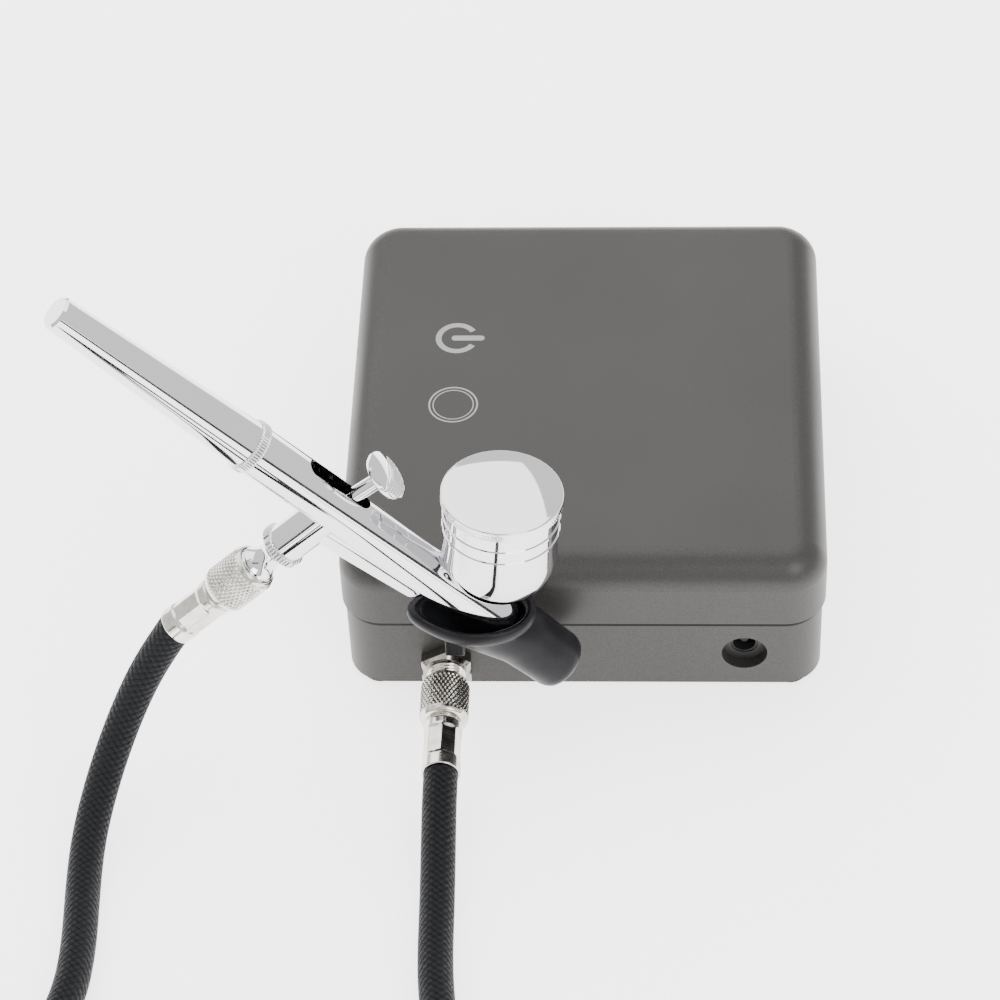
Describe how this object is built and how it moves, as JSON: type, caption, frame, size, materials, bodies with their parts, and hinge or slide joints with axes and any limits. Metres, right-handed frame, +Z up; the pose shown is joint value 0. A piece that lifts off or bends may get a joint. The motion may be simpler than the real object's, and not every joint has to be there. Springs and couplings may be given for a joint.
{
  "type": "airbrush compressor",
  "caption": "desktop airbrush compressor: rounded case with a piston pump, touch symbols, a braided hose and a gravity-feed airbrush in a front holder",
  "frame": {"origin": "on the surface it stands on, under the middle of the object's bounding box, leaving out the hose", "axes": "+Z up; the front, with the air outlet and the power inlet, faces -Y; +X is to the right seen from the front"},
  "size_m": [0.204, 0.3795, 0.1443],
  "materials": {
    "case_paint": "warm dark grey satin paint with a fine metallic grain",
    "black_rubber": "matt black rubber",
    "symbol_print": "pale grey light windows, flush with the cover",
    "circuit_board": "green solder mask",
    "black_plastic": "black moulded plastic",
    "holder_plastic": "satin charcoal moulded plastic",
    "wire_red": "red wire sleeve",
    "filter_foam": "grey open foam in a cup",
    "cast_alloy": "die-cast alloy",
    "steel": "plain steel",
    "brass": "machined brass",
    "silicone": "pale silicone tube",
    "nickel": "bright nickel plate",
    "dark_nickel": "dark nickel plate",
    "chrome": "polished chrome plate",
    "needle_steel": "polished stainless steel",
    "hose_braid": "black braided nylon over rubber"
  },
  "bodies": {
    "root": {"top_cover": "case_paint", "base_shell": "case_paint", "rubber_feet": "black_rubber", "case_screws": "steel", "power_symbol": "symbol_print", "mode_ring": "symbol_print", "touch_board": "circuit_board", "control_board": "circuit_board", "dc_jack": "black_plastic", "wiring": "wire_red", "intake_filter": "filter_foam", "pump_frame": "cast_alloy", "motor_can": "steel", "motor_cap": "black_plastic", "cylinder_sleeve": "steel", "valve_plate": "cast_alloy", "reed_valves": "steel", "cylinder_head": "cast_alloy", "head_screws": "steel", "rubber_mounts": "black_rubber", "mount_screws": "steel", "air_tube": "silicone", "outlet_adapter": "dark_nickel", "outlet_locknut": "dark_nickel", "hose_tail_lower": "nickel", "ferrule_lower": "nickel", "hose_run_lower": "hose_braid", "hose_coil": "hose_braid", "hose_run_upper": "hose_braid", "brush_holder": "holder_plastic", "holder_socket": "black_plastic"},
    "airbrush": {"brush_body": "chrome", "paint_cup": "chrome", "handle": "chrome", "handle_ring": "chrome", "needle_spring": "steel", "spring_case": "brass", "nozzle": "brass", "nozzle_cap": "chrome", "needle_cap": "chrome", "valve_body": "chrome", "valve_plug": "chrome", "valve_spring": "steel", "hose_tail_upper": "nickel", "ferrule_upper": "nickel"},
    "cup_lid": {"cup_lid": "chrome"},
    "air_plunger": {"valve_plunger": "brass"},
    "trigger": {"trigger_button": "chrome", "trigger_stem": "chrome"},
    "needle_set": {"needle": "needle_steel", "needle_chuck": "brass", "needle_guide": "needle_steel"},
    "rotor": {"rotor_shaft": "steel", "crank_disc": "brass"},
    "piston": {"piston_rod": "cast_alloy", "big_end_bearing": "steel", "piston_cup": "black_rubber"},
    "lower_nut": {"hose_nut_lower": "nickel"},
    "upper_nut": {"hose_nut_upper": "nickel"}
  },
  "joints": [
    {"name": "airbrush_lift", "type": "slide", "parent": "root", "child": "airbrush", "axis": [-0.6769, 0, 0.7361], "range_m": [0, 0.03]},
    {"name": "cup_lid_lift", "type": "slide", "parent": "airbrush", "child": "cup_lid", "axis": [0.0642, 0.0631, 0.9959], "range_m": [0, 0.02]},
    {"name": "air_press", "type": "slide", "parent": "airbrush", "child": "air_plunger", "axis": [-0.7333, -0.0872, -0.6743], "range_m": [0, 0.002], "stiffness_N_per_m": 1200, "springref_m": -0.001, "deforming": ["valve_spring"]},
    {"name": "trigger_pull", "type": "hinge", "parent": "air_plunger", "child": "trigger", "pos_m": [-0.03139, -0.05654, 0.07513], "axis": [0.0642, -0.9962, 0.059], "range_deg": [0, 25.1]},
    {"name": "needle_draw", "type": "slide", "parent": "airbrush", "child": "needle_set", "axis": [-0.6769, 0, 0.7361], "range_m": [0, 0.0028], "stiffness_N_per_m": 300, "springref_m": -0.002, "deforming": ["needle_spring"]},
    {"name": "motor_spin", "type": "hinge", "parent": "root", "child": "rotor", "pos_m": [0.0135, 0.0414, 0.023], "axis": [1, 0, 0], "continuous": true},
    {"name": "piston_stroke", "type": "slide", "parent": "root", "child": "piston", "axis": [0, 1, 0], "range_m": [0, 0.006]},
    {"name": "lower_nut_turn", "type": "hinge", "parent": "root", "child": "lower_nut", "pos_m": [-0.0052, -0.0576, 0.0092], "axis": [0, -1, 0], "continuous": true},
    {"name": "upper_nut_turn", "type": "hinge", "parent": "airbrush", "child": "upper_nut", "pos_m": [-0.05192, -0.05898, 0.05625], "axis": [-0.7333, -0.0872, -0.6743], "continuous": true}
  ],
  "couplings": [
    {"joint": "trigger_pull", "follows": "needle_draw", "rad_per_m": 155.8}
  ]
}
